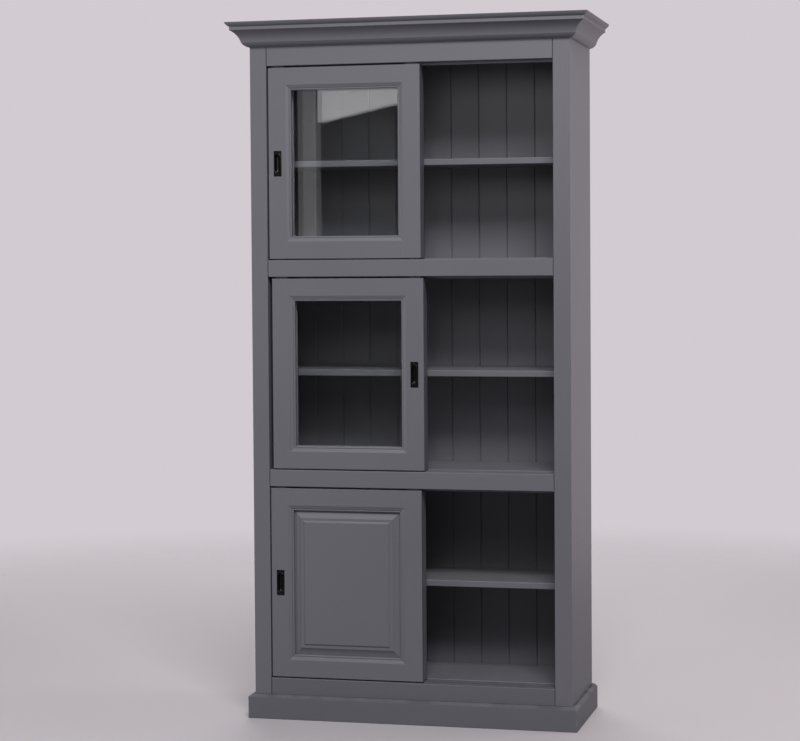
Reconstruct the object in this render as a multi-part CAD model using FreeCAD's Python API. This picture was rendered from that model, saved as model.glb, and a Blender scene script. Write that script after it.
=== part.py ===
import FreeCAD, Part
import math
import os

# Three-tier display cupboard with sliding doors, in millimetres.
# The frame has its origin on the floor under the middle of the bounding box,
# +X to the right, +Y to the back and +Z up.

Vector = FreeCAD.Vector
origin = Vector(0, 0, 0)
same_place = 1e-6  # two points closer than this are one

# Carcass
carcass_width = 1020.0
carcass_depth = 385.0  # front of the posts to the back of the boards
post_width = 53.0
side_thickness = 20.0
top_thickness = 20.0
tongue_thickness = 8.0  # side panel's tongue in the back of the post
tongue_length = 8.0
arris = 1.5  # easing of the frame's edges
seam_width = 2.6  # V between a rail's end and the post
seam_depth = 3.6

# Storeys
tier_opening = 610.0  # sill to head
bottom_rail_height = 52.0  # shown above the plinth
middle_rail_height = 53.0
top_rail_height = 60.0  # shown below the cornice
rail_lap = 20.0  # hidden behind the cornice or the plinth
rail_tenon_length = 30.0
rail_tenon_thickness = 22.0
rail_tenon_shoulder = 14.0

# Decks, shelves and their bearers
deck_thickness = 20.0
deck_rise = 3.0  # deck above the sill
deck_housing = 6.0  # depth of the housing in the side panel
shelf_thickness = 20.0
shelf_level = 314.0  # shelf's top above the sill
shelf_door_gap = 16.0  # shelf's front edge behind the door frame
shelf_clearance = 1.0
shelf_arris = 2.5
bearer_width = 18.0
bearer_height = 24.0
bearer_setback = 25.0  # bearer's front end behind the shelf's front edge
bearer_bevel = 12.0  # sloped front end

# Back boards
board_thickness = 15.0
board_pitch = 92.2
narrowest_board = 30.0
board_foot = 30.0  # boards' lower ends above the floor
back_rebate = 7.0  # width of the rebate in the side panel
board_tongue_length = 5.0
board_tongue_thickness = 4.0
board_tongue_clearance = 0.2
board_chamfer = 2.5

# Plinth
plinth_projection = 18.0
plinth_face = 68.0  # upright face
plinth_bevel_rise = 8.0
plinth_bevel_run = 10.0

# Cornice, from its foot up, as projection from the carcass and height of each member
foot_projection = 21.4
foot_height = 13.3
foot_bulge = 2.8
foot_step = 0.6
cove_projection = 51.0
cove_height = 38.3
cove_bulge = 5.4
fillet_height = 10.4
cornice_projection = 63.6
crown_height = 14.0
crown_bulge = 1.9

# Doors and their tracks
door_recess = 5.0  # front door's face behind the posts' face
door_thickness = 28.0
door_spacing = 9.0  # between the front and rear doors
rear_door_margin = 4.0  # rear door to the back of the frame
door_overlap = 68.0  # when both doors are closed
door_bottom_gap = 3.5
door_top_gap = 5.5
groove_width = 6.0
sill_groove_depth = 6.0
head_groove_depth = 12.0
parting_drop = 8.0  # parting strip below the head
parting_clearance = 1.2
top_front_rest = 4.6  # left gap of each door where it stands at rest
top_rear_rest = 1.6
middle_front_rest = 12.3
middle_rear_rest = 8.4
bottom_front_rest = 2.5
bottom_rear_rest = 1.0

# Door frames
door_stile_width = 57.0
door_rail_width = 55.0
door_arris = 1.2
door_tenon_length = 40.0
door_tenon_thickness = 10.0
door_tenon_shoulder = 10.0  # on the sight edge's side
door_tenon_cover = 4.0  # wood between the tenon and the guide's socket
moulding_width = 16.0
band_width = 9.5  # sloped band outside the bead
band_step = 0.6
band_depth = 4.4
quirk_width = 1.4
quirk_depth = 6.2
bead_shoulder = 9.5  # depth where the bead meets the sight edge
bead_bulge = 2.0
glass_front = 11.0  # glass behind the door's face

# Glazing
glass_thickness = 4.0
pane_gap = 1.0
glazing_bead_width = 15.0
glazing_bead_depth = 9.0
glazing_bead_lip = 3.0
glazing_bead_top = 7.0

# Raised and fielded panel
panel_front = 16.0  # panel's tongue behind the door's face
panel_tongue_thickness = 7.0
panel_gap = 1.0
panel_cove = 23.0
panel_cove_rise = 10.0
panel_cove_sag = 1.5
panel_step = 8.0  # flat between the cove and the field's slope
field_slope = 5.5
field_rise = 3.6

# Flush pulls
pull_width = 25.0
pull_height = 80.0
pull_inset = 30.0  # pull's centre line from the door's edge
pull_plate = 1.6
pull_corner = 2.0
rim_width = 22.0
rim_length = 63.0
rim_rise = 1.2
cup_width = 17.0
cup_length = 58.0
cup_depth = 9.0
cup_wall = 1.0
pocket_clearance = 0.4

# Nylon glides and guides
guide_length = 40.0
guide_side_clearance = 0.6
glide_seat_clearance = 0.3
guide_engagement = 6.0  # guide's reach into the head groove
guide_socket = 10.0  # depth let into the stile's end

# Worked-out places
cornice_height = foot_height + cove_height + fillet_height + crown_height
plinth_height = plinth_face + plinth_bevel_rise
overall_depth = carcass_depth + cornice_projection
front_y = cornice_projection - overall_depth / 2
back_y = front_y + carcass_depth
boards_y = back_y - board_thickness
frame_depth = door_recess + 2 * door_thickness + door_spacing + rear_door_margin
frame_y = front_y + frame_depth
half_width = carcass_width / 2
half_opening = half_width - post_width
half_inside = half_width - side_thickness
sill_pitch = tier_opening + middle_rail_height
tiers = ("bottom", "middle", "top")
sills = [plinth_height + bottom_rail_height + i * sill_pitch for i in range(len(tiers))]
heads = [sill + tier_opening for sill in sills]
cornice_z = heads[-1] + top_rail_height
total_height = cornice_z + cornice_height
carcass_top = total_height - top_thickness
door_width = half_opening + door_overlap / 2
door_height = tier_opening - door_bottom_gap - door_top_gap
shelf_y = frame_y + shelf_door_gap
shelf_back_y = boards_y - shelf_clearance
panel_back = panel_front + panel_tongue_thickness


# Shared forms

def box(x0, x1, y0, y1, z0, z1):
    return Part.makeBox(x1 - x0, y1 - y0, z1 - z0, Vector(x0, y0, z0))


def box_edges(blank, sides):
    """Edges of a box, where side (0, -1, 1) is the one along X at the lowest Y and highest Z."""
    middle = blank.CenterOfMass
    corner = blank.Vertexes[0].Point - middle
    half = Vector(abs(corner.x), abs(corner.y), abs(corner.z))
    spots = [middle + Vector(sx * half.x, sy * half.y, sz * half.z) for sx, sy, sz in sides]
    return [edge for edge in blank.Edges if any(edge.CenterOfMass.isEqual(at, same_place) for at in spots)]


def rounded(blank, rounding, sides):
    return blank.makeFillet(rounding, box_edges(blank, sides))


def bevelled(blank, bevel, sides):
    return blank.makeChamfer(bevel, box_edges(blank, sides))


def mirrored(shape):
    return shape.mirror(origin, Vector(1, 0, 0))


def outline(place, corners):
    """Closed face through corners (a, b, bulge), where bulge is the rise of the arc up to that corner."""
    edges = []
    for (a0, b0, _), (a1, b1, bulge) in zip([corners[-1]] + corners[:-1], corners):
        if bulge:
            chord = math.hypot(a1 - a0, b1 - b0)
            a_mid = (a0 + a1) / 2 + bulge * (b1 - b0) / chord
            b_mid = (b0 + b1) / 2 - bulge * (a1 - a0) / chord
            edges.append(Part.Arc(place(a0, b0), place(a_mid, b_mid), place(a1, b1)).toShape())
        else:
            edges.append(Part.makeLine(place(a0, b0), place(a1, b1)))
    return Part.Face(Part.Wire(edges))


def prism(points, sweep):
    return Part.Face(Part.makePolygon(points + points[:1])).extrude(sweep)


def stadium(width, length, y0, y1):
    """Solid slot shape standing on the XZ plane, with its length along Z."""
    reach = (length - width) / 2
    centres = [Vector(0, y0, -reach), Vector(0, y0, reach)]
    ends = [Part.makeCylinder(width / 2, y1 - y0, centre, Vector(0, 1, 0)) for centre in centres]
    return box(-width / 2, width / 2, y0, y1, -reach, reach).fuse(ends).removeSplitter()


def wrapped_moulding(corners, reach):
    """Front length and left return of a moulding round the carcass, mitred at the corner."""
    front_face = outline(lambda t, z: Vector(-half_width - reach, front_y - t, z), corners)
    front = front_face.extrude(Vector(2 * (half_width + reach), 0, 0))
    side_face = outline(lambda t, z: Vector(-half_width - t, front_y - reach, z), corners)
    side = side_face.extrude(Vector(0, carcass_depth + reach, 0))
    corner = Vector(-half_width, front_y, 0)
    tip = corner + Vector(-reach, -reach, 0)
    rise = Vector(0, 0, total_height)
    front_plan = [corner, tip, Vector(-tip.x, tip.y, 0), Vector(-corner.x, corner.y, 0)]
    side_plan = [corner, tip, Vector(tip.x, back_y, 0), Vector(corner.x, back_y, 0)]
    return front.common(prism(front_plan, rise)), side.common(prism(side_plan, rise))


def mitred_strip(corners, width, length):
    """Strip along Z with its section in X and Y, mitred at both ends towards +X."""
    strip = outline(lambda u, v: Vector(u, v, 0), corners).extrude(Vector(0, 0, length))
    reach = width + bead_bulge
    plan = [origin, Vector(reach, 0, reach), Vector(reach, 0, length - reach), Vector(0, 0, length)]
    return strip.common(prism(plan, Vector(0, door_thickness, 0)))


def mitred_frame(corners, width):
    """Left, right, bottom and top strips round the inside of a door frame."""
    x0, x1 = door_stile_width, door_width - door_stile_width
    z0, z1 = door_rail_width, door_height - door_rail_width
    upright = mitred_strip(corners, width, z1 - z0)
    level = mitred_strip(corners, width, x1 - x0).mirror(origin, Vector(1, 0, -1))
    left = upright.translated(Vector(x0, 0, z0))
    right = mirrored(upright).translated(Vector(x1, 0, z0))
    bottom = level.translated(Vector(x0, 0, z0))
    top = level.mirror(origin, Vector(0, 0, 1)).translated(Vector(x0, 0, z1))
    return left, right, bottom, top


def door_y(track):
    return front_y + door_recess + track * (door_thickness + door_spacing)


# Carcass pieces

def rail_tenon(z0, z1):
    """Left-hand tenon of a rail between heights z0 and z1."""
    y0 = front_y + (frame_depth - rail_tenon_thickness) / 2
    low, high = z0 + rail_tenon_shoulder, z1 - rail_tenon_shoulder
    return box(-half_opening - rail_tenon_length, -half_opening, y0, y0 + rail_tenon_thickness, low, high)


def rail_seam(z0, z1):
    """Wedge cut from the left end of a rail's face."""
    corner = Vector(-half_opening, front_y, z0)
    across = corner + Vector(seam_width, 0, 0)
    behind = corner + Vector(0, seam_depth, 0)
    return prism([corner, across, behind], Vector(0, 0, z1 - z0))


def track_groove(track, z0, z1):
    y = door_y(track) + door_thickness / 2
    return box(-half_opening, half_opening, y - groove_width / 2, y + groove_width / 2, z0, z1)


def rail(z0, z1, carries_sill, carries_head):
    body = box(-half_opening, half_opening, front_y, frame_y, z0, z1)
    body = bevelled(body, arris, [(0, -1, -1), (0, -1, 1)])
    seam = rail_seam(z0, z1)
    tenon = rail_tenon(z0, z1)
    body = body.cut([seam, mirrored(seam)]).fuse([tenon, mirrored(tenon)])
    for track in (0, 1):
        if carries_sill:
            body = body.cut(track_groove(track, z1 - sill_groove_depth, z1))
        if carries_head:
            body = body.cut(track_groove(track, z0, z0 + head_groove_depth))
    return body


def panel_tongue():
    x0 = -half_width + (side_thickness - tongue_thickness) / 2
    return box(x0, x0 + tongue_thickness, frame_y - tongue_length, frame_y, 0, carcass_top)


def front_post(rail_heights):
    post = box(-half_width, -half_opening, front_y, frame_y, 0, carcass_top)
    post = rounded(post, arris, [(-1, -1, 0), (1, -1, 0)])
    return post.cut([rail_tenon(z0, z1) for z0, z1 in rail_heights] + [panel_tongue()])


def deck(sill):
    reach = half_inside + deck_housing
    top = sill + deck_rise
    return rounded(box(-reach, reach, frame_y, boards_y, top - deck_thickness, top), arris, [(0, -1, 1)])


def shelf(sill):
    reach = half_inside - shelf_clearance
    top = sill + shelf_level
    plank = box(-reach, reach, shelf_y, shelf_back_y, top - shelf_thickness, top)
    return rounded(plank, shelf_arris, [(0, -1, 1), (0, -1, -1)])


def shelf_bearer(sill):
    """Left-hand bearer screwed to the side panel, with its lower front corner sloped off."""
    top = sill + shelf_level - shelf_thickness
    x0, x1 = -half_inside, -half_inside + bearer_width
    blank = box(x0, x1, shelf_y + bearer_setback, boards_y, top - bearer_height, top)
    return bevelled(blank, bearer_bevel, [(0, -1, -1)])


def side_panel(decks):
    panel = box(-half_width, -half_inside, frame_y, back_y, 0, carcass_top).fuse(panel_tongue())
    rebate = box(-half_inside - back_rebate, -half_inside, boards_y, back_y, 0, carcass_top)
    return panel.cut([rebate] + decks).removeSplitter()


def board_joint(x0, x1, clearance):
    """Tongue between two back boards, or with a clearance the slot for it."""
    middle_y = (boards_y + back_y) / 2
    half = board_tongue_thickness / 2 + clearance
    return box(x0, x1, middle_y - half, middle_y + half, board_foot, carcass_top)


def board_edge(x, inward):
    """Wedge cut from a board's front edge at x, where inward is +1 or -1 along X."""
    corner = Vector(x, boards_y, board_foot)
    across = corner + Vector(inward * board_chamfer, 0, 0)
    behind = corner + Vector(0, board_chamfer, 0)
    return prism([corner, across, behind], Vector(0, 0, carcass_top - board_foot))


def back_board(x0, x1, is_first, is_last):
    plank = box(x0, x1, boards_y, back_y, board_foot, carcass_top)
    if not is_first:
        slot_end = x0 + board_tongue_length + board_tongue_clearance
        plank = plank.cut([board_joint(x0, slot_end, board_tongue_clearance), board_edge(x0, 1)])
    if not is_last:
        plank = plank.cut(board_edge(x1, -1)).fuse(board_joint(x1, x1 + board_tongue_length, 0))
    return plank


def back_boards():
    """Boards laid from the left; the last is ripped to what is left of the width."""
    half_back = half_inside + back_rebate
    count = math.floor((2 * half_back - narrowest_board) / board_pitch) + 1
    lines = [-half_back + i * board_pitch for i in range(count)] + [half_back]
    return [back_board(lines[i], lines[i + 1], i == 0, i == count - 1) for i in range(count)]


def cornice():
    z1 = cornice_z + foot_height
    z2 = z1 + cove_height
    z3 = z2 + fillet_height
    corners = [
        (0, total_height, 0),
        (0, cornice_z, 0),
        (foot_projection - foot_step, z1, foot_bulge),
        (foot_projection, z1, 0),
        (cove_projection, z2, -cove_bulge),
        (cove_projection, z3, 0),
        (cornice_projection, total_height, crown_bulge),
    ]
    return wrapped_moulding(corners, cornice_projection)


def plinth():
    shelf_edge = plinth_projection - plinth_bevel_run
    corners = [
        (0, plinth_height, 0),
        (0, 0, 0),
        (plinth_projection, 0, 0),
        (plinth_projection, plinth_face, 0),
        (shelf_edge, plinth_height, 0),
    ]
    return wrapped_moulding(corners, plinth_projection)


def parting_strip(head):
    y0 = door_y(0) + door_thickness + parting_clearance
    y1 = door_y(1) - parting_clearance
    return box(-half_opening, half_opening, y0, y1, head - parting_drop, head)


# Door pieces, in a frame at the door's lower left front corner

def moulded_edge(rebate_depth):
    return mitred_frame([
        (0, rebate_depth, 0),
        (0, band_step, 0),
        (band_width, band_depth, 0),
        (band_width, quirk_depth, 0),
        (band_width + quirk_width, quirk_depth, 0),
        (moulding_width, bead_shoulder, bead_bulge),
        (moulding_width, rebate_depth, 0),
    ], moulding_width)


def panel_lip():
    return mitred_frame([
        (0, door_thickness, 0),
        (0, panel_back, 0),
        (moulding_width, panel_back, 0),
        (moulding_width, door_thickness, 0),
    ], moulding_width)


def glazing_beads():
    front = glass_front + glass_thickness
    back = front + glazing_bead_depth
    return mitred_frame([
        (0, back, 0),
        (0, front, 0),
        (glazing_bead_width, front, 0),
        (glazing_bead_width, front + glazing_bead_lip, 0),
        (glazing_bead_top, back, 0),
    ], glazing_bead_width)


def glass_pane():
    x0, z0 = door_stile_width + pane_gap, door_rail_width + pane_gap
    back = glass_front + glass_thickness
    return box(x0, door_width - x0, glass_front, back, z0, door_height - z0)


def raised_panel():
    """Tongue all round, a cove that rises from the sight edge, a flat step and a sloped rise to the field."""
    x0, z0 = door_stile_width + panel_gap, door_rail_width + panel_gap
    tongue = box(x0, door_width - x0, panel_front, panel_back, z0, door_height - z0)
    cove_end = moulding_width + panel_cove
    slope_end = cove_end + panel_step + field_slope
    step_y = panel_front - panel_cove_rise
    field_y = step_y - field_rise
    border = mitred_frame([
        (slope_end, panel_front, 0),
        (moulding_width, panel_front, 0),
        (cove_end, step_y, -panel_cove_sag),
        (cove_end + panel_step, step_y, 0),
        (slope_end, field_y, 0),
    ], slope_end)
    left, low = door_stile_width + slope_end, door_rail_width + slope_end
    field = box(left, door_width - left, field_y, panel_front, low, door_height - low)
    return tongue.fuse([field] + list(border)).removeSplitter()


def flush_pull():
    """Plate with a raised rim round a slot-shaped cup."""
    half_w, half_h = pull_width / 2, pull_height / 2
    plate = box(-half_w, half_w, -pull_plate, 0, -half_h, half_h)
    plate = bevelled(plate, pull_corner, [(-1, 0, -1), (-1, 0, 1), (1, 0, -1), (1, 0, 1)])
    brim_y = -pull_plate - rim_rise
    rim = stadium(rim_width, rim_length, brim_y, 0)
    cup = stadium(cup_width + 2 * cup_wall, cup_length + 2 * cup_wall, 0, cup_depth + cup_wall)
    hollow = stadium(cup_width, cup_length, brim_y, cup_depth)
    return plate.fuse([rim, cup]).cut(hollow).removeSplitter()


def pull_pocket():
    width, length = cup_width + 2 * cup_wall, cup_length + 2 * cup_wall
    depth = cup_depth + cup_wall + pocket_clearance
    return stadium(width + 2 * pocket_clearance, length + 2 * pocket_clearance, 0, depth)


def stile_guides():
    """Bottom glide and top guide of the left stile."""
    x = door_stile_width / 2
    half_length = guide_length / 2
    half_gauge = groove_width / 2 - guide_side_clearance
    y0, y1 = door_thickness / 2 - half_gauge, door_thickness / 2 + half_gauge
    foot = -door_bottom_gap - sill_groove_depth + glide_seat_clearance
    crest = door_height + door_top_gap + guide_engagement
    glide = box(x - half_length, x + half_length, y0, y1, foot, guide_socket)
    guide = box(x - half_length, x + half_length, y0, y1, door_height - guide_socket, crest)
    return [glide, guide]


def door_tenon():
    """Tenon at the left end of the bottom rail."""
    x0 = door_stile_width - door_tenon_length
    y0 = (door_thickness - door_tenon_thickness) / 2
    z0 = guide_socket + door_tenon_cover
    z1 = door_rail_width - door_tenon_shoulder
    return box(x0, door_stile_width, y0, y0 + door_tenon_thickness, z0, z1)


def door(is_glazed, pull_on_right):
    """Pieces of one door by name; each value is a list of solids."""
    middle = Vector(door_width / 2, 0, door_height / 2)

    def across(shape):
        return shape.mirror(middle, Vector(1, 0, 0))

    def above(shape):
        return shape.mirror(middle, Vector(0, 0, 1))

    left_strip, _, bottom_strip, _ = moulded_edge(glass_front if is_glazed else panel_front)
    stile = box(0, door_stile_width, 0, door_thickness, 0, door_height)
    stile = bevelled(stile, door_arris, [(-1, -1, 0), (0, -1, -1), (0, -1, 1)])
    tenon = door_tenon()
    x0, x1 = door_stile_width, door_width - door_stile_width
    low_rail = bevelled(box(x0, x1, 0, door_thickness, 0, door_rail_width), door_arris, [(0, -1, -1)])
    stile = stile.fuse(left_strip)
    low_rail = low_rail.fuse([bottom_strip, tenon, across(tenon)])
    if not is_glazed:
        left_lip, _, bottom_lip, _ = panel_lip()
        stile = stile.fuse(left_lip)
        low_rail = low_rail.fuse(bottom_lip)
    guides = stile_guides()
    stile = stile.cut([tenon, above(tenon)] + guides)
    stiles = [stile, across(stile)]
    pull_x = door_width - pull_inset if pull_on_right else pull_inset
    pull_place = Vector(pull_x, 0, door_height / 2)
    carrier = 1 if pull_on_right else 0
    stiles[carrier] = stiles[carrier].cut(pull_pocket().translated(pull_place))
    pieces = {
        "stiles": stiles,
        "rails": [low_rail, above(low_rail)],
        "pull": [flush_pull().translated(pull_place)],
        "guides": guides + [across(guide) for guide in guides],
    }
    if is_glazed:
        pieces["glass"] = [glass_pane()]
        pieces["beads"] = list(glazing_beads())
    else:
        pieces["panel"] = [raised_panel()]
    return pieces


# Whole cupboard, as lists of solids by node

def build_carcass():
    bottom_heights = (plinth_height - rail_lap, sills[0])
    lower_heights = (heads[0], sills[1])
    upper_heights = (heads[1], sills[2])
    top_heights = (heads[2], cornice_z + rail_lap)
    decks = [deck(sill) for sill in sills]
    bearers = [shelf_bearer(sill) for sill in sills]
    post = front_post([bottom_heights, lower_heights, upper_heights, top_heights])
    panel = side_panel(decks)
    cornice_front, cornice_left = cornice()
    plinth_front, plinth_left = plinth()
    return {
        "front_post_left": [post],
        "front_post_right": [mirrored(post)],
        "side_panel_left": [panel],
        "side_panel_right": [mirrored(panel)],
        "bottom_rail": [rail(*bottom_heights, True, False)],
        "lower_middle_rail": [rail(*lower_heights, True, True)],
        "upper_middle_rail": [rail(*upper_heights, True, True)],
        "top_rail": [rail(*top_heights, False, True)],
        "bottom_deck": [decks[0]],
        "lower_deck": [decks[1]],
        "upper_deck": [decks[2]],
        "top_board": [box(-half_width, half_width, front_y, back_y, carcass_top, total_height)],
        "bottom_shelf": [shelf(sills[0])],
        "middle_shelf": [shelf(sills[1])],
        "top_shelf": [shelf(sills[2])],
        "shelf_bearers": bearers + [mirrored(bearer) for bearer in bearers],
        "back_boards": back_boards(),
        "cornice_front": [cornice_front],
        "cornice_left": [cornice_left],
        "cornice_right": [mirrored(cornice_left)],
        "plinth_front": [plinth_front],
        "plinth_left": [plinth_left],
        "plinth_right": [mirrored(plinth_left)],
        "parting_strips": [parting_strip(head) for head in heads],
    }


def build_doors():
    rests = {
        "top": (top_front_rest, top_rear_rest),
        "middle": (middle_front_rest, middle_rear_rest),
        "bottom": (bottom_front_rest, bottom_rear_rest),
    }
    nodes = {}
    for tier, sill in zip(tiers, sills):
        for track, track_name in enumerate(("front", "rear")):
            front_door_is_right = tier == "middle"
            pull_on_right = front_door_is_right == (track == 0)
            place = Vector(rests[tier][track] - half_opening, door_y(track), sill + door_bottom_gap)
            for piece, solids in door(tier != "bottom", pull_on_right).items():
                nodes[f"{tier}_{track_name}_door_{piece}"] = [solid.translated(place) for solid in solids]
    return nodes


os.makedirs("parts", exist_ok=True)
nodes = {**build_carcass(), **build_doors()}
for name, solids in nodes.items():
    shape = solids[0] if len(solids) == 1 else Part.makeCompound(solids)
    shape.exportStep(f"parts/{name}.step")
print(f"{len(nodes)} nodes, {total_height:.0f} mm high")
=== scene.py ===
import math

import bmesh
import bpy
from mathutils import Matrix, Vector


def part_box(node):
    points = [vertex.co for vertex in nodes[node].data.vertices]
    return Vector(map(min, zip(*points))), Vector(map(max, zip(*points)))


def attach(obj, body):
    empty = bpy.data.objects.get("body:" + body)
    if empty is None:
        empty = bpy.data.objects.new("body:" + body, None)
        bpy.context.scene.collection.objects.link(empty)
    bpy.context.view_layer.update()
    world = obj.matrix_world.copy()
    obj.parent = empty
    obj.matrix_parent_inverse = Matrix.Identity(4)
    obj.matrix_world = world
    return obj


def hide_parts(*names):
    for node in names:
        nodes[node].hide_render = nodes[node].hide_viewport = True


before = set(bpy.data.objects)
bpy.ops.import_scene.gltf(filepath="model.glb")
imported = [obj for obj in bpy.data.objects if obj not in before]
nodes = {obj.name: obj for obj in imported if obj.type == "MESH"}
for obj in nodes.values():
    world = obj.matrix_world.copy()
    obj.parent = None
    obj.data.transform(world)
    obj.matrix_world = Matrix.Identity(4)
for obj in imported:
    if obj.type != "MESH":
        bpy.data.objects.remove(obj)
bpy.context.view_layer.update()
scene = bpy.context.scene
mm = 0.001
tiers = ("top", "middle", "bottom")
doors = [f"{tier}_{track}_door" for tier in tiers for track in ("front", "rear")]


def screenColour(red, green, blue):  # 0 to 255 as seen on screen
    def channel(value):
        value = value / 255
        return value / 12.92 if value <= 0.04045 else ((value + 0.055) / 1.055) ** 2.4
    return (channel(red), channel(green), channel(blue), 1.0)


def addNode(tree, kind, **settings):
    made = tree.nodes.new(kind)
    for name, value in settings.items():
        setattr(made, name, value)
    return made


def feed(tree, socket, value):  # from another socket, or a plain value
    if isinstance(value, bpy.types.NodeSocket):
        tree.links.new(value, socket)
    else:
        socket.default_value = value


def addMath(tree, operation, *values):
    made = addNode(tree, "ShaderNodeMath", operation=operation)
    for socket, value in zip(made.inputs, values):
        feed(tree, socket, value)
    return made.outputs[0]


def addVectorMath(tree, operation, first, second=None):
    made = addNode(tree, "ShaderNodeVectorMath", operation=operation)
    feed(tree, made.inputs[0], first)
    if second is not None:
        feed(tree, made.inputs["Scale" if operation == "SCALE" else 1], second)
    return made.outputs["Value" if operation == "LENGTH" else "Vector"]


def addRange(tree, value, low, high, newLow=0.0, newHigh=1.0):
    made = addNode(tree, "ShaderNodeMapRange", interpolation_type="SMOOTHSTEP")
    limits = {"From Min": low, "From Max": high, "To Min": newLow, "To Max": newHigh}
    for name, number in {"Value": value, **limits}.items():
        feed(tree, made.inputs[name], number)
    return made.outputs["Result"]


def addNoise(tree, vector, scale, detail, roughness=0.5):
    made = addNode(tree, "ShaderNodeTexNoise")
    values = {"Vector": vector, "Scale": scale, "Detail": detail, "Roughness": roughness}
    for name, value in values.items():
        feed(tree, made.inputs[name], value)
    return made.outputs["Fac"]


def addMix(tree, share, first, second):  # of two colours
    made = addNode(tree, "ShaderNodeMix", data_type="RGBA")
    colourSockets = made.inputs[6], made.inputs[7]
    for socket, value in zip((made.inputs[0], *colourSockets), (share, first, second)):
        feed(tree, socket, value)
    return made.outputs[2]


def offMiddle(tree, noise):  # a noise texture varies about one half
    return addMath(tree, "SUBTRACT", noise, 0.5)


def remainder(tree, share):
    return addMath(tree, "SUBTRACT", 1.0, share)


def objectCoords(tree):
    return addNode(tree, "ShaderNodeTexCoord").outputs["Object"]


def newGroup(name, inputs, outputs):
    tree = bpy.data.node_groups.new(name, "ShaderNodeTree")
    kinds = {"colour": "NodeSocketColor", "number": "NodeSocketFloat", "vector": "NodeSocketVector"}
    for way, sockets in (("INPUT", inputs), ("OUTPUT", outputs)):
        for label, kind in sockets.items():
            tree.interface.new_socket(name=label, in_out=way, socket_type=kinds[kind])
    given = addNode(tree, "NodeGroupInput").outputs
    return tree, given, addNode(tree, "NodeGroupOutput").inputs


def placeGroup(tree, group, values):
    made = addNode(tree, "ShaderNodeGroup", node_tree=group)
    for name, value in values.items():
        made.inputs[name].default_value = value
    return made.outputs


# camera at the photograph's own standpoint
cameraSet = {
    "place": (1.63217, -6.84712, 1.45826),  # metres
    "turn": 13.944,  # degrees to the left
    "tip": -2.122,  # degrees upwards
    "lean": -0.389,
    "lens": 99.608,  # mm
    "sensor": 36.0,
    "shiftY": -0.0381,
}


def makeCamera(s):
    turn, tip, lean = (math.radians(s[name]) for name in ("turn", "tip", "lean"))
    flat = Vector((-math.sin(turn), math.cos(turn), 0)) * math.cos(tip)
    ahead = flat + Vector((0, 0, math.sin(tip)))
    level = Vector((math.cos(turn), math.sin(turn), 0))
    rise = level.cross(ahead)
    right = level * math.cos(lean) + rise * math.sin(lean)
    up = rise * math.cos(lean) - level * math.sin(lean)
    data = bpy.data.cameras.new("photoCamera")
    data.lens = s["lens"]
    data.sensor_width = s["sensor"]
    data.shift_y = s["shiftY"]
    camera = bpy.data.objects.new("photoCamera", data)
    facing = Matrix((right, up, -ahead)).transposed().to_4x4()
    camera.matrix_world = Matrix.Translation(s["place"]) @ facing
    scene.collection.objects.link(camera)
    scene.camera = camera


makeCamera(cameraSet)
print("camera placed")


skinSet = {
    "grainDetail": 3.0,
    "grainRoughness": 0.6,
    "grainTone": 0.5,  # strength beside the mottle
    "mottleScale": 2.4,  # noise waves a metre
    "mottleDetail": 2.0,
    "stippleScale": 620.0,
    "stippleDetail": 1.0,
    "sheenSpread": 0.07,
    "grainRelief": 0.6,
    "stippleRelief": 0.4,
}


def makePaintSkin(s):  # tone, sheen and relief of a rolled coat over straight grain
    tree, given, result = newGroup(
        "paintSkin",
        {"Colour": "colour", "Grain Scale": "vector", "Tone Spread": "number", "Sheen": "number"},
        {"Colour": "colour", "Roughness": "number", "Height": "number"})
    coords = objectCoords(tree)
    stretched = addVectorMath(tree, "MULTIPLY", coords, given["Grain Scale"])
    grain = addNoise(tree, stretched, 1.0, s["grainDetail"], s["grainRoughness"])
    mottle = addNoise(tree, coords, s["mottleScale"], s["mottleDetail"])
    stipple = addNoise(tree, coords, s["stippleScale"], s["stippleDetail"])

    streaks = addMath(tree, "MULTIPLY", offMiddle(tree, grain), s["grainTone"])
    lean = addMath(tree, "ADD", offMiddle(tree, mottle), streaks)
    factor = addMath(tree, "ADD", addMath(tree, "MULTIPLY", lean, given["Tone Spread"]), 1.0)
    feed(tree, result["Colour"], addVectorMath(tree, "SCALE", given["Colour"], factor))

    blotches = addMath(tree, "ADD", stipple, mottle)
    sheen = addMath(tree, "MULTIPLY_ADD", blotches, s["sheenSpread"], -s["sheenSpread"])
    feed(tree, result["Roughness"], addMath(tree, "ADD", sheen, given["Sheen"]))

    ridges = addMath(tree, "MULTIPLY", grain, s["grainRelief"])
    dots = addMath(tree, "MULTIPLY", stipple, s["stippleRelief"])
    feed(tree, result["Height"], addMath(tree, "ADD", ridges, dots))
    return tree


rubSet = {
    "samples": 5,
    "edge": (0.12, 0.55),  # inner occlusion where the rub starts and is full
    "detail": 3.0,
    "breakup": (0.38, 0.66),  # noise where a worn spot starts and is full
}


def makeEdgeRubAndHighlight(s):  # lighter along outer edges: worn finish, and painted edge highlight
    tree, given, result = newGroup(
        "edgeRubAndHighlight", {"Reach": "number", "Breakup Scale": "number"}, {"Rub And Highlight": "number"})
    inside = addNode(
        tree, "ShaderNodeAmbientOcclusion", inside=True, only_local=True, samples=s["samples"])
    feed(tree, inside.inputs["Distance"], given["Reach"])
    edge = addRange(tree, remainder(tree, inside.outputs["AO"]), *s["edge"])
    noise = addNoise(tree, objectCoords(tree), given["Breakup Scale"], s["detail"])
    spots = addRange(tree, noise, *s["breakup"])
    feed(tree, result["Rub And Highlight"], addMath(tree, "MULTIPLY", edge, spots))
    return tree


dustAndShadeSet = {
    "facing": (0.55, 0.98),  # how far up a face looks to take the film
    "detail": 5.0,
    "patch": (0.3, 0.7),
    "cover": (0.35, 1.0),  # in the thinnest and thickest patch
}


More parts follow.
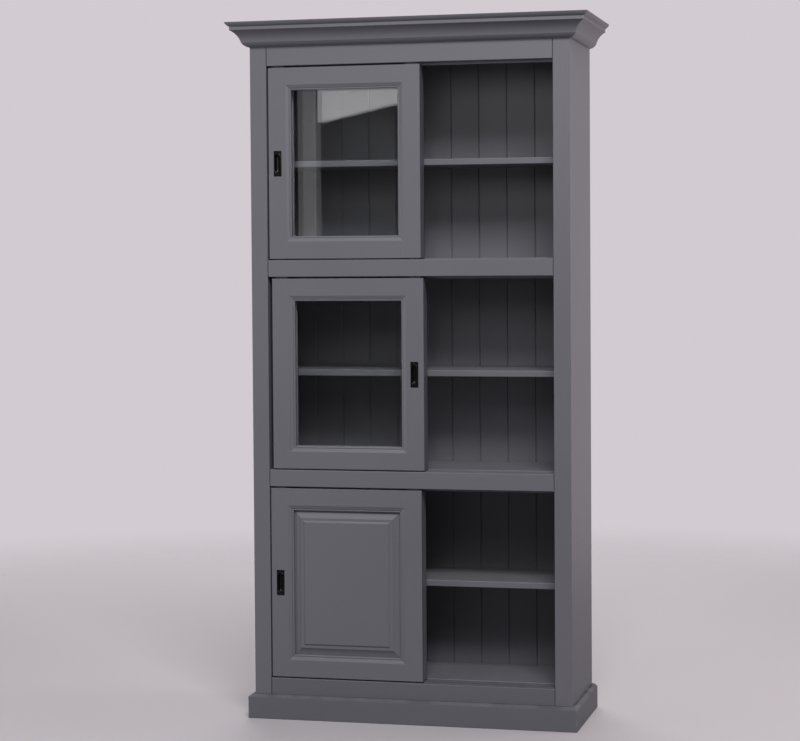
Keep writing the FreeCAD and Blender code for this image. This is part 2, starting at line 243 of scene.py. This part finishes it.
def makeDustAndShadeFilm(s):  # fine dust on faces that look up, and painted shade on the low paints' ledges
    tree, given, result = newGroup(
        "dustAndShadeFilm", {"Amount": "number", "Patch Scale": "number"}, {"Dust And Shade": "number"})
    facing = addNode(tree, "ShaderNodeSeparateXYZ")
    feed(tree, facing.inputs[0], addNode(tree, "ShaderNodeNewGeometry").outputs["Normal"])
    up = addRange(tree, facing.outputs["Z"], *s["facing"])
    noise = addNoise(tree, objectCoords(tree), given["Patch Scale"], s["detail"])
    patch = addRange(tree, noise, *s["patch"], *s["cover"])
    film = addMath(tree, "MULTIPLY", addMath(tree, "MULTIPLY", up, patch), given["Amount"])
    feed(tree, result["Dust And Shade"], film)
    return tree


creviceSet = {
    "samples": 6,
    "closed": (0.42, 0.92),  # occlusion where the shade starts and is full
}


def makeCrevice(s):  # painted shade, with grime, darkening seams, quirks and door gaps
    tree, given, result = newGroup(
        "crevice", {"Reach": "number", "Depth": "number"}, {"Shade": "number"})
    around = addNode(tree, "ShaderNodeAmbientOcclusion", samples=s["samples"])
    feed(tree, around.inputs["Distance"], given["Reach"])
    closed = addRange(tree, remainder(tree, around.outputs["AO"]), *s["closed"])
    feed(tree, result["Shade"], addMath(tree, "MULTIPLY", closed, given["Depth"]))
    return tree


toothSet = {
    "detail": 3.0,
    "broadScale": 90.0,
    "broadDetail": 2.0,
}


def makeFineTooth(s):  # close texture of castings, mouldings and plating
    tree, given, result = newGroup(
        "fineTooth",
        {"Scale": "number", "Sheen": "number", "Sheen Spread": "number"},
        {"Roughness": "number", "Height": "number", "Tone": "number"})
    coords = objectCoords(tree)
    broad = addNoise(tree, coords, s["broadScale"], s["broadDetail"])
    spread = addMath(tree, "MULTIPLY", offMiddle(tree, broad), given["Sheen Spread"])
    feed(tree, result["Roughness"], addMath(tree, "ADD", spread, given["Sheen"]))
    feed(tree, result["Height"], addNoise(tree, coords, given["Scale"], s["detail"]))
    feed(tree, result["Tone"], broad)
    return tree


paintSkin = makePaintSkin(skinSet)
edgeRubAndHighlight = makeEdgeRubAndHighlight(rubSet)
dustAndShadeFilm = makeDustAndShadeFilm(dustAndShadeSet)
crevice = makeCrevice(creviceSet)
fineTooth = makeFineTooth(toothSet)
edgeSamples = 4  # for edges that the shader softens


def newMaterial(name):
    material = bpy.data.materials.new(name)
    material.use_nodes = True
    tree = material.node_tree
    tree.nodes.clear()
    shader = addNode(tree, "ShaderNodeBsdfPrincipled")
    output = addNode(tree, "ShaderNodeOutputMaterial")
    tree.links.new(shader.outputs[0], output.inputs["Surface"])
    return material, tree, shader.inputs, output.inputs["Surface"]


def addRelief(tree, sockets, height, depth, edgeRadius=0.0):  # bump over softened edges
    bump = addNode(tree, "ShaderNodeBump")
    feed(tree, bump.inputs["Strength"], 1.0)
    feed(tree, bump.inputs["Distance"], depth)
    feed(tree, bump.inputs["Height"], height)
    if edgeRadius:
        bevel = addNode(tree, "ShaderNodeBevel", samples=edgeSamples)
        feed(tree, bevel.inputs["Radius"], edgeRadius)
        feed(tree, bump.inputs["Normal"], bevel.outputs[0])
    feed(tree, sockets["Normal"], bump.outputs[0])


def addClear(tree, surface, share, tint):  # that share of the light goes straight through
    clear = addNode(tree, "ShaderNodeBsdfTransparent")
    clear.inputs["Color"].default_value = tint
    mix = addNode(tree, "ShaderNodeMixShader")
    parts = (share, surface.links[0].from_socket, clear.outputs[0])
    for socket, part in zip(mix.inputs, parts):
        tree.links.new(part, socket)
    tree.links.new(mix.outputs[0], surface)


paintSet = {
    "colour": screenColour(106, 105, 112),
    # lighter edge colour: worn paint, and painted edge highlight
    "rubbedAndHighlit": screenColour(136, 135, 141),
    # colour of the painted shade, with grime, in seams, quirks and gaps
    "shadeAndGrime": screenColour(24, 23, 25),
    "dustAndShade": screenColour(182, 178, 178),
    "sheen": 0.44,
    "toneSpread": 0.1,
    "rubReach": 3.5 * mm,
    "rubScale": 46.0,
    "rubShare": 0.4,
    "creviceReach": 5.0 * mm,
    "creviceDepth": 0.85,
    "dustAndShadeAmount": 0.1,
    "dustScale": 14.0,
    "dustMatt": 0.8,  # roughness that full dust adds
    "relief": 0.05 * mm,
    "edgeRadius": 1.2 * mm,
    "grainAlong": 7.0,  # noise waves a metre
    "grainAcross": 260.0,
}
panelSet = {**paintSet, "creviceDepth": 0.3}
lowSet = {  # painted shade: darker close to the floor, and darker still on the ledges
    **paintSet,
    "colour": screenColour(98, 97, 104),
    "dustAndShade": screenColour(40, 39, 41),
    "dustAndShadeAmount": 0.8,
}
sillSet = {**lowSet, "dustAndShadeAmount": 0.2}  # with a quarter of that painted shade on its ledges


def makePaint(name, axis, s):
    material, tree, sockets, _ = newMaterial(name)
    scale = [s["grainAcross"]] * 3
    scale["XYZ".index(axis)] = s["grainAlong"]
    skin = placeGroup(tree, paintSkin, {
        "Colour": s["colour"], "Grain Scale": scale,
        "Tone Spread": s["toneSpread"], "Sheen": s["sheen"]})
    rubAndHighlight = placeGroup(tree, edgeRubAndHighlight, {
        "Reach": s["rubReach"], "Breakup Scale": s["rubScale"]})["Rub And Highlight"]
    dustAndShade = placeGroup(tree, dustAndShadeFilm, {
        "Amount": s["dustAndShadeAmount"], "Patch Scale": s["dustScale"]})["Dust And Shade"]
    shade = placeGroup(tree, crevice, {
        "Reach": s["creviceReach"], "Depth": s["creviceDepth"]})["Shade"]
    # edges lightened as wear and as painted highlight
    rubbedAndHighlit = addMath(tree, "MULTIPLY", rubAndHighlight, s["rubShare"])
    wornAndHighlit = addMix(tree, rubbedAndHighlit, skin["Colour"], s["rubbedAndHighlit"])
    # dust on faces that look up; in the low paints, painted shade on the ledges
    dustedAndShaded = addMix(tree, dustAndShade, wornAndHighlit, s["dustAndShade"])
    # painted shade: the crevice mask darkens seams, quirks and door gaps
    feed(tree, sockets["Base Color"], addMix(tree, shade, dustedAndShaded, s["shadeAndGrime"]))
    matt = addMath(tree, "MULTIPLY", dustAndShade, s["dustMatt"])
    feed(tree, sockets["Roughness"], addMath(tree, "ADD", skin["Roughness"], matt))
    addRelief(tree, sockets, skin["Height"], s["relief"], s["edgeRadius"])
    return material


glassSet = {
    "tint": (0.962, 0.968, 0.968, 1.0),
    "ior": 1.5,
    "shadowTint": (0.935, 0.945, 0.945, 1.0),
    "smudgeScale": 8.0,
    "smudgeDetail": 5.0,
    "smudgeRoughness": 0.65,
    "smudgeRange": (0.52, 0.78),  # noise where a smudge starts and is full
    "smudge": 0.025,  # roughness of a full one
}


def makeGlass(s):
    material, tree, sockets, surface = newMaterial("clearGlass")
    wiped = addNoise(
        tree, objectCoords(tree), s["smudgeScale"], s["smudgeDetail"], s["smudgeRoughness"])
    smudge = addRange(tree, wiped, *s["smudgeRange"], 0.0, s["smudge"])
    feed(tree, sockets["Roughness"], smudge)
    sockets["Base Color"].default_value = s["tint"]
    sockets["IOR"].default_value = s["ior"]
    sockets["Transmission Weight"].default_value = 1.0
    path = addNode(tree, "ShaderNodeLightPath").outputs
    unbent = addMath(tree, "MAXIMUM", path["Is Shadow Ray"], path["Is Diffuse Ray"])
    addClear(tree, surface, unbent, s["shadowTint"])
    return material


def placeTooth(tree, s):
    return placeGroup(tree, fineTooth, {
        "Scale": s["tooth"], "Sheen": s["sheen"], "Sheen Spread": s["sheenSpread"]})


blackSet = {
    "colour": screenColour(6, 6, 7),
    # lighter arcs on the bead: painted highlight, with some wear
    "rubbedAndHighlit": screenColour(40, 38, 37),
    "specular": 0.36,
    "sheen": 0.32,
    "sheenSpread": 0.1,
    "tooth": 900.0,
    "relief": 0.006 * mm,
    "rubReach": 0.8 * mm,
    "rubScale": 160.0,
}


def makeBlackMetal(s):
    material, tree, sockets, _ = newMaterial("blackMetal")
    sockets["Specular IOR Level"].default_value = s["specular"]
    tooth = placeTooth(tree, s)
    # painted highlight along the bead's rims, with some wear
    rubAndHighlight = placeGroup(tree, edgeRubAndHighlight, {
        "Reach": s["rubReach"], "Breakup Scale": s["rubScale"]})["Rub And Highlight"]
    feed(tree, sockets["Base Color"], addMix(tree, rubAndHighlight, s["colour"], s["rubbedAndHighlit"]))
    feed(tree, sockets["Roughness"], tooth["Roughness"])
    addRelief(tree, sockets, tooth["Height"], s["relief"])
    return material


nylonSet = {
    "pale": screenColour(226, 224, 216),
    "deep": screenColour(208, 205, 195),
    "sheen": 0.42,
    "sheenSpread": 0.15,
    "tooth": 420.0,
    "relief": 0.03 * mm,
    # painted shade that darkens the guides inside the door gaps
    "creviceReach": 20.0 * mm,
    "creviceDepth": 0.97,
    "shadeAndGrime": screenColour(24, 23, 25),
}


def makeNylon(s):
    material, tree, sockets, _ = newMaterial("naturalNylon")
    tooth = placeTooth(tree, s)
    toned = addMix(tree, tooth["Tone"], s["pale"], s["deep"])
    shade = placeGroup(tree, crevice, {
        "Reach": s["creviceReach"], "Depth": s["creviceDepth"]})["Shade"]
    # painted shade: the guides go nearly black inside the gaps
    feed(tree, sockets["Base Color"], addMix(tree, shade, toned, s["shadeAndGrime"]))
    feed(tree, sockets["Roughness"], tooth["Roughness"])
    addRelief(tree, sockets, tooth["Height"], s["relief"])
    return material


steelSet = {
    "bright": screenColour(176, 175, 172),
    "dull": screenColour(126, 124, 121),
    "sheen": 0.38,
    "sheenSpread": 0.3,
    "tooth": 900.0,
    "relief": 0.02 * mm,
}


def makeSteel(s):
    material, tree, sockets, _ = newMaterial("zincSteel")
    sockets["Metallic"].default_value = 1.0
    tooth = placeTooth(tree, s)
    feed(tree, sockets["Base Color"], addMix(tree, tooth["Tone"], s["bright"], s["dull"]))
    feed(tree, sockets["Roughness"], tooth["Roughness"])
    addRelief(tree, sockets, tooth["Height"], s["relief"])
    return material


blackMetal = makeBlackMetal(blackSet)
zincSteel = makeSteel(steelSet)

# grain runs along each piece's length, and the last row that fits a node's name counts
finishes = (
    (makePaint("greyPaintUpright", "Z", paintSet),
     ("post", "side_panel", "back_boards", "_stiles", "_beads")),
    (makePaint("greyPaintLevel", "X", paintSet),
     ("rail", "deck", "shelf", "top_board", "cornice_front", "parting")),
    (makePaint("greyPaintReturn", "Y", paintSet), ("cornice_left", "cornice_right", "bearers")),
    (makePaint("greyPaintPanel", "Z", panelSet), ("door_panel",)),
    (makePaint("greyPaintLow", "X", lowSet), ("plinth_front",)),
    (makePaint("greyPaintSill", "X", sillSet), ("bottom_rail",)),
    (makePaint("greyPaintLowReturn", "Y", lowSet), ("plinth_left", "plinth_right")),
    (makeGlass(glassSet), ("_glass",)),
    (blackMetal, ("_pull",)),
    (makeNylon(nylonSet), ("_guides",)),
)
print("finishes made:", len(bpy.data.materials))


def dressNodes():
    for name, piece in nodes.items():
        fitting = [made for made, words in finishes if any(word in name for word in words)]
        if not piece.material_slots:
            piece.data.materials.append(fitting[-1])
        for place in piece.material_slots:
            place.material = fitting[-1]


dressNodes()
print("nodes dressed")


pullSet = {  # mm
    "plate": (12.5, 40.0),  # half sizes
    "plateCorner": 1.6,
    "plateThickness": 1.6,
    "plateRound": 0.5,
    "bead": 11.7,  # half width over the bead
    "beadRise": 1.2,
    "cup": (8.5, 29.0),
    "cupDepth": 9.0,
    "cupRound": 7.0,
    "draft": 0.25,
    "wall": 1.0,
    "strip": 0.4,  # half width of the flat along the middle line
    "backSteps": ((0.0, 3.0), (1.0, 1.0), (3.0, 0.0)),  # in from the wall, out from the back
    "roundEnd": 0.985,  # corner radius of the cup's ends, as a share of the half width
    "arcSteps": 8,
    "cornerSteps": 8,
    "sideSteps": 10,
    "sharpFrom": 48.0,  # degrees between two faces
}


def ringPoints(halfWidth, halfLength, corner, y, s):  # rounded rectangle, anticlockwise
    points = []
    for quarter, (sx, sz) in enumerate(((1, 1), (-1, 1), (-1, -1), (1, -1))):
        x, z = sx * (halfWidth - corner), sz * (halfLength - corner)
        for step in range(s["cornerSteps"] + 1):
            angle = math.radians(90 * (quarter + step / s["cornerSteps"]))
            points.append(Vector((x + corner * math.cos(angle), y, z + corner * math.sin(angle))))
        if quarter in (0, 2):
            continue
        start, end = points[-1], Vector((points[-1].x, y, -z))
        shares = [(i + 1) / s["sideSteps"] for i in range(s["sideSteps"] - 1)]
        points += [start.lerp(end, share) for share in shares]
    return points


def pullRings(s):  # from the cup's floor over the bead and plate to the back of the cup
    face = -s["plateThickness"]
    cupW, cupL = s["cup"]
    plateW, plateL = s["plate"]
    quarter = [math.radians(90 * step / s["arcSteps"]) for step in range(s["arcSteps"] + 1)]

    def cupRing(half, y):
        return half, half + cupL - cupW, half * s["roundEnd"], y

    rings = [cupRing(s["strip"], s["cupDepth"])]
    for angle in quarter:
        half = cupW - s["draft"] - s["cupRound"] * (1 - math.sin(angle))
        rings.append(cupRing(half, s["cupDepth"] - s["cupRound"] * (1 - math.cos(angle))))
    crown, reach = (s["bead"] + cupW) / 2, (s["bead"] - cupW) / 2
    for angle in quarter:
        rise = s["beadRise"] * math.sin(2 * angle)
        rings.append(cupRing(crown - reach * math.cos(2 * angle), face - rise))
    for angle in quarter[::2]:
        inset = s["plateRound"] * (1 - math.sin(angle))
        y = face + s["plateRound"] * (1 - math.cos(angle))
        rings.append((plateW - inset, plateL - inset, s["plateCorner"], y))
    rings.append((plateW, plateL, s["plateCorner"], 0.0))
    outer, back = cupW + s["wall"], s["cupDepth"] + s["wall"]
    rings.append(cupRing(outer, 0.0))
    rings += [cupRing(outer - inset, back - out) for inset, out in s["backSteps"]]
    rings.append(cupRing(s["strip"], back))
    return rings


def makePull(door, s):
    node = f"{door}_pull"
    low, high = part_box(node)
    middle = (low + high) / 2
    middle.y = low.y + (s["plateThickness"] + s["beadRise"]) * mm
    work = bmesh.new()
    loops = []
    for ring in pullRings(s):
        loops.append([work.verts.new(middle + spot * mm) for spot in ringPoints(*ring, s)])
    for first, second in zip(loops, loops[1:]):
        for i in range(len(first)):
            j = (i + 1) % len(first)
            work.faces.new((first[i], first[j], second[j], second[i]))
    work.faces.new(loops[0])
    work.faces.new(loops[-1])
    bmesh.ops.recalc_face_normals(work, faces=work.faces)
    mesh = bpy.data.meshes.new(f"{door}_flushPull")
    work.to_mesh(mesh)
    work.free()
    mesh.shade_smooth()
    mesh.set_sharp_from_angle(angle=math.radians(s["sharpFrom"]))
    mesh.materials.append(blackMetal)
    piece = bpy.data.objects.new(f"{door}_flushPull", mesh)
    scene.collection.objects.link(piece)
    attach(piece, door)
    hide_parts(node)
    return middle


pullPlaces = {door: makePull(door, pullSet) for door in doors}
print("flush pulls made:", len(pullPlaces))


headSet = {
    "sides": 20,
    "steps": ((0.55, 1.0), (0.27, 0.9), (0.18, 0.66)),  # rim and dome: share of height, width
    "weld": 0.01 * mm,
    "slotLength": 1.25,  # of the head's radius
    "armRises": (0.95, 1.0),  # of its height, so that no two cut faces coincide
}


def growHead(tree, given, s):  # a flat disc raised step by step
    link = tree.links.new
    disc = addNode(tree, "GeometryNodeMeshCircle", fill_type="NGON")
    disc.inputs["Vertices"].default_value = s["sides"]
    link(given["Head Radius"], disc.inputs["Radius"])
    under = addNode(tree, "GeometryNodeFlipFaces")
    link(disc.outputs[0], under.inputs[0])
    body, top = disc.outputs[0], None
    for share, width in s["steps"]:
        lifted = addNode(tree, "GeometryNodeExtrudeMesh", mode="FACES")
        link(body, lifted.inputs["Mesh"])
        if top is not None:
            link(top, lifted.inputs["Selection"])
        rise = addMath(tree, "MULTIPLY", given["Head Height"], share)
        link(rise, lifted.inputs["Offset Scale"])
        top = lifted.outputs["Top"]
        shrunk = addNode(tree, "GeometryNodeScaleElements")
        link(lifted.outputs["Mesh"], shrunk.inputs["Geometry"])
        link(top, shrunk.inputs["Selection"])
        shrunk.inputs["Scale"].default_value = width
        body = shrunk.outputs[0]
    closed = addNode(tree, "GeometryNodeJoinGeometry")
    link(body, closed.inputs[0])
    link(under.outputs[0], closed.inputs[0])
    welded = addNode(tree, "GeometryNodeMergeByDistance")
    welded.inputs["Distance"].default_value = s["weld"]
    link(closed.outputs[0], welded.inputs[0])
    return welded.outputs[0]


def cutSlots(tree, given, head, s):  # one arm of the cross at a time
    link = tree.links.new
    length = addMath(tree, "MULTIPLY", given["Head Radius"], s["slotLength"])
    sides = (length, given["Slot Width"])
    for arms, rise in zip((sides, sides[::-1]), s["armRises"]):
        size = addNode(tree, "ShaderNodeCombineXYZ")
        for socket, value in zip(size.inputs, (*arms, given["Head Height"])):
            link(value, socket)
        arm = addNode(tree, "GeometryNodeMeshCube")
        link(size.outputs[0], arm.inputs["Size"])
        up = addNode(tree, "ShaderNodeCombineXYZ")
        link(addMath(tree, "MULTIPLY", given["Head Height"], rise), up.inputs["Z"])
        lift = addNode(tree, "GeometryNodeTransform")
        link(arm.outputs[0], lift.inputs["Geometry"])
        link(up.outputs[0], lift.inputs["Translation"])
        cut = addNode(tree, "GeometryNodeMeshBoolean", operation="DIFFERENCE")
        link(head, cut.inputs["Mesh 1"])
        link(lift.outputs[0], cut.inputs["Mesh 2"])
        head = cut.outputs["Mesh"]
    return head


def makeFastenerTree(s):
    tree = bpy.data.node_groups.new("fastenerHeads", "GeometryNodeTree")
    inputs = {"Places": "Geometry", "Head Radius": "Float", "Head Height": "Float",
              "Slotted": "Bool", "Slot Width": "Float", "Axis": "Vector", "Seed": "Int",
              "Finish": "Material"}
    for way, sockets in (("INPUT", inputs), ("OUTPUT", {"Heads": "Geometry"})):
        for label, kind in sockets.items():
            tree.interface.new_socket(name=label, in_out=way, socket_type=f"NodeSocket{kind}")
    given = addNode(tree, "NodeGroupInput").outputs
    result = addNode(tree, "NodeGroupOutput").inputs
    link = tree.links.new

    plain = growHead(tree, given, s)
    head = addNode(tree, "GeometryNodeSwitch", input_type="GEOMETRY")
    link(given["Slotted"], head.inputs["Switch"])
    link(plain, head.inputs["False"])
    link(cutSlots(tree, given, plain, s), head.inputs["True"])

    along = addNode(tree, "FunctionNodeAlignRotationToVector", axis="Z")
    link(given["Axis"], along.inputs["Vector"])
    spin = addNode(tree, "FunctionNodeRandomValue", data_type="FLOAT")
    spin.inputs[3].default_value = math.tau
    link(given["Seed"], spin.inputs["Seed"])
    about = addNode(tree, "FunctionNodeAxisAngleToRotation")
    link(spin.outputs[1], about.inputs["Angle"])
    turn = addNode(tree, "FunctionNodeRotateRotation", rotation_space="LOCAL")
    link(along.outputs[0], turn.inputs[0])
    link(about.outputs[0], turn.inputs[1])

    spread = addNode(tree, "GeometryNodeInstanceOnPoints")
    link(given["Places"], spread.inputs["Points"])
    link(head.outputs[0], spread.inputs["Instance"])
    link(turn.outputs[0], spread.inputs["Rotation"])
    solid = addNode(tree, "GeometryNodeRealizeInstances")
    link(spread.outputs[0], solid.inputs[0])
    coat = addNode(tree, "GeometryNodeSetMaterial")
    link(solid.outputs[0], coat.inputs["Geometry"])
    link(given["Finish"], coat.inputs["Material"])
    link(coat.outputs[0], result["Heads"])
    return tree


fastenerTree = makeFastenerTree(headSet)


def makeFasteners(name, body, places, axis, finish, s):
    seats = bpy.data.meshes.new(f"{name}Seats")
    seats.from_pydata([Vector(place) for place in places], [], [])
    carrier = bpy.data.objects.new(f"{name}Seats", seats)
    scene.collection.objects.link(carrier)
    grower = carrier.modifiers.new("heads", "NODES")
    grower.node_group = fastenerTree
    sockets = fastenerTree.interface.items_tree
    ids = {item.name: item.identifier for item in sockets if item.in_out == "INPUT"}
    values = {"Head Radius": s["radius"] * mm, "Head Height": s["height"] * mm,
              "Slotted": s["slot"] > 0, "Slot Width": s["slot"] * mm,
              "Axis": axis, "Seed": s["seed"], "Finish": finish}
    for label, value in values.items():
        grower[ids[label]] = value
    bpy.context.view_layer.update()
    ready = carrier.evaluated_get(bpy.context.evaluated_depsgraph_get())
    mesh = bpy.data.meshes.new_from_object(ready)
    mesh.name = name
    bpy.data.objects.remove(carrier)
    piece = bpy.data.objects.new(name, mesh)
    scene.collection.objects.link(piece)
    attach(piece, body)
    print(name, len(places), "heads,", len(mesh.polygons), "faces")


pullScrewSet = {  # sizes in mm, as in the three sets after it
    "radius": 2.1,
    "height": 0.75,
    "slot": 0.55,
    "seed": 4,
    "fromMiddle": 35.8,
}


def pullScrews(middle, s):
    face = middle - Vector((0, pullSet["plateThickness"] * mm, 0))
    return [face + Vector((0, 0, side * s["fromMiddle"] * mm)) for side in (-1, 1)]


for door, middle in pullPlaces.items():
    makeFasteners(f"{door}_pullScrews", door, pullScrews(middle, pullScrewSet),
                  (0, -1, 0), blackMetal, pullScrewSet)

nailSet = {
    "radius": 1.9,
    "height": 0.6,
    "slot": 0.0,
    "seed": 11,
    "pitch": 92.2,  # width of a board
    "narrowest": 10.0,
    "fromEdge": 20.0,
    "edgeStep": 195.0,
}


def backNails(s):
    low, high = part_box("back_boards")
    decks = [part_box(f"{word}_deck") for word in ("bottom", "lower", "upper")]
    spots = []
    x = low.x
    while x < high.x - s["narrowest"] * mm:
        end = min(x + s["pitch"] * mm, high.x)
        for deckLow, deckHigh in decks:
            level = (deckLow.z + deckHigh.z) / 2
            sides = (x + s["fromEdge"] * mm, end - s["fromEdge"] * mm)
            spots += [(side, high.y, level) for side in sides]
        x = end
    edge = (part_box("side_panel_right")[0].x + high.x) / 2  # over the side panels' rebates
    count = int((high.z - low.z) / (s["edgeStep"] * mm))
    for i in range(count):
        level = low.z + (i + 0.5) * (high.z - low.z) / count
        spots += [(-edge, high.y, level), (edge, high.y, level)]
    return spots


makeFasteners("backNails", "carcass", backNails(nailSet),
              (0, 1, 0), zincSteel, nailSet)

boardScrewSet = {
    "radius": 4.2,
    "height": 0.9,
    "slot": 1.1,
    "seed": 7,
    "fromEdge": 10.0,
    "rows": 5,
}


def topScrews(s):
    low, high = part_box("top_board")
    inset = s["fromEdge"] * mm
    spots = []
    for i in range(s["rows"]):
        y = low.y + (high.y - low.y) * (i + 0.5) / s["rows"]
        spots += [(low.x + inset, y, high.z), (high.x - inset, y, high.z)]
    return spots


makeFasteners("topScrews", "carcass", topScrews(boardScrewSet),
              (0, 0, 1), zincSteel, boardScrewSet)

bearerScrewSet = {
    "radius": 3.6,
    "height": 0.8,
    "slot": 1.0,
    "seed": 3,
    "width": 18.0,  # of the bearer
    "drop": 12.0,  # under the shelf
    "shares": (0.12, 0.5, 0.88),  # along the bearer
}


def bearerScrews(s, side):
    low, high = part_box("shelf_bearers")
    x = (low.x + s["width"] * mm) if side < 0 else (high.x - s["width"] * mm)
    spots = []
    for tier in tiers:
        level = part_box(f"{tier}_shelf")[0].z - s["drop"] * mm
        spots += [(x, low.y + (high.y - low.y) * share, level) for share in s["shares"]]
    return spots


for side, word in ((-1, "Left"), (1, "Right")):
    makeFasteners(f"bearerScrews{word}", "carcass", bearerScrews(bearerScrewSet, side),
                  (-side, 0, 0), zincSteel, bearerScrewSet)


floorSet = {
    "colour": screenColour(188, 183, 187),
    "bounce": screenColour(134, 131, 134),  # what it throws back at the wood
    "half": 9.0,  # metres
    "drop": 0.6 * mm,
    "toneScale": 1.3,
    "toneDetail": 4.0,
    "toneLift": 1.03,
    "roughness": 0.7,
    "fade": (1.9, 5.2),  # metres from the cupboard
}


def makeFloor(s):
    mesh = bpy.data.meshes.new("studioFloor")
    half = s["half"]
    corners = ((-half, -half), (half, -half), (half, half), (-half, half))
    mesh.from_pydata([(x, y, -s["drop"]) for x, y in corners], [], [(0, 1, 2, 3)])
    material, tree, sockets, surface = newMaterial("studioFloor")
    coords = objectCoords(tree)
    tone = addNoise(tree, coords, s["toneScale"], s["toneDetail"])
    pale = tuple(min(1.0, channel * s["toneLift"]) for channel in s["colour"])
    shown = addNode(tree, "ShaderNodeLightPath").outputs["Is Camera Ray"]
    seen = addMix(tree, tone, s["colour"], pale)
    feed(tree, sockets["Base Color"], addMix(tree, shown, s["bounce"], seen))
    sockets["Roughness"].default_value = s["roughness"]
    far = addRange(tree, addVectorMath(tree, "LENGTH", coords), *s["fade"])
    addClear(tree, surface, far, (1.0, 1.0, 1.0, 1.0))
    mesh.materials.append(material)
    floor = bpy.data.objects.new("studioFloor", mesh)
    scene.collection.objects.link(floor)


worldSet = {
    "backdrop": screenColour(210, 203, 209),
    "ambient": (0.97, 0.95, 1.0, 1.0),
    "ambientLow": 0.03,  # strength from below and from above
    "ambientHigh": 0.16,
    "ambientBand": (-0.5, 0.8),  # heights of direction between the two
    "glossCut": 0.85,  # share of the ambient kept out of reflections
    "frontGlow": 0.03,  # share of the backdrop that gloss mirrors from the front
    "frontBand": (-0.3, 0.2),  # directions from front to back
    "ceilingGlow": 0.8,  # what gloss that looks up mirrors
    "ceilingBand": (0.3, 0.8),
}


def makeWorld(s):
    world = bpy.data.worlds.new("studioWorld")
    scene.world = world
    world.use_nodes = True
    tree = world.node_tree
    tree.nodes.clear()
    path = addNode(tree, "ShaderNodeLightPath").outputs
    heading = addNode(tree, "ShaderNodeSeparateXYZ")
    sky = addNode(tree, "ShaderNodeTexCoord").outputs["Generated"]
    tree.links.new(sky, heading.inputs[0])
    along, rise = heading.outputs["Y"], heading.outputs["Z"]

    level = addRange(tree, rise, *s["ambientBand"], s["ambientLow"], s["ambientHigh"])
    gloss = addMath(tree, "MAXIMUM", path["Is Glossy Ray"], path["Is Transmission Ray"])
    matt = remainder(tree, addMath(tree, "MULTIPLY", gloss, s["glossCut"]))
    overhead = addRange(tree, rise, *s["ceilingBand"], 0.0, s["ceilingGlow"])
    ceiling = addMath(tree, "MULTIPLY", gloss, overhead)
    strength = addMath(tree, "ADD", addMath(tree, "MULTIPLY", level, matt), ceiling)
    behind = addRange(tree, along, *s["frontBand"], s["frontGlow"], 1.0)
    mirrored = addMath(tree, "MULTIPLY", gloss, behind)
    seen = addMath(tree, "MAXIMUM", path["Is Camera Ray"], mirrored)

    mix = addNode(tree, "ShaderNodeMixShader")
    tree.links.new(seen, mix.inputs[0])
    layers = ((s["ambient"], strength), (s["backdrop"], 1.0))
    for socket, (colour, power) in zip((mix.inputs[1], mix.inputs[2]), layers):
        light = addNode(tree, "ShaderNodeBackground")
        feed(tree, light.inputs["Color"], colour)
        feed(tree, light.inputs["Strength"], power)
        tree.links.new(light.outputs[0], socket)
    output = addNode(tree, "ShaderNodeOutputWorld")
    tree.links.new(mix.outputs[0], output.inputs["Surface"])


lampSet = {
    "keySoft": {
        "place": (2.1, -5.8, 6.4), "aim": (0.0, -0.1, 1.3), "size": (3.3, 2.25),
        "watts": 472.0, "colour": (1.0, 1.0, 1.0)},
    "frontSoft": {
        "place": (0.3, -2.5, 2.3), "aim": (0.0, -0.1, 1.5), "size": (1.0, 0.7),
        "watts": 8.0, "colour": (1.0, 1.0, 1.0)},
    "rightSoft": {
        "place": (2.9, 0.8, 1.8), "aim": (0.5, 0.1, 1.2), "size": (1.2, 1.4),
        "watts": 25.0, "colour": (1.0, 0.9, 0.9)},
    "leftSoft": {
        "place": (-2.7, -2.0, 1.1), "aim": (0.0, -0.15, 1.1), "size": (1.0, 1.0),
        "watts": 15.0, "colour": (0.98, 0.98, 1.0)},
    "backSoft": {  # kept off the glossy top
        "place": (-1.0, 3.6, 3.0), "aim": (0.0, 0.2, 1.1), "size": (2.6, 2.0),
        "watts": 110.0, "colour": (1.0, 0.985, 0.99), "mirrored": False},
    "paneGlint": {  # caught by the top pane
        "place": (-0.76, -2.34, 2.32), "aim": (-1.93, -1.667, 2.32), "size": (1.32, 0.52),
        "watts": 4.2, "colour": (0.97, 0.96, 1.0)},
    "paneStrip": {  # caught at that pane's left edge
        "place": (-0.989, -2.4, 1.86), "aim": (-0.33, -0.145, 1.76), "size": (0.077, 0.68),
        "watts": 0.09, "colour": (0.97, 0.96, 1.0)},
}


def makeLamp(name, s):
    data = bpy.data.lights.new(name, "AREA")
    data.shape = "RECTANGLE"
    data.size, data.size_y = s["size"]
    data.energy = s["watts"]
    data.color = s["colour"]
    lamp = bpy.data.objects.new(name, data)
    lamp.visible_camera = False
    lamp.visible_glossy = s.get("mirrored", True)
    place = Vector(s["place"])
    facing = (Vector(s["aim"]) - place).to_track_quat("-Z", "Y").to_matrix().to_4x4()
    lamp.matrix_world = Matrix.Translation(place) @ facing
    scene.collection.objects.link(lamp)


makeFloor(floorSet)
makeWorld(worldSet)
for name, s in lampSet.items():
    makeLamp(name, s)
scene.view_settings.view_transform = "Standard"
print("studio ready:", len(lampSet), "lamps")
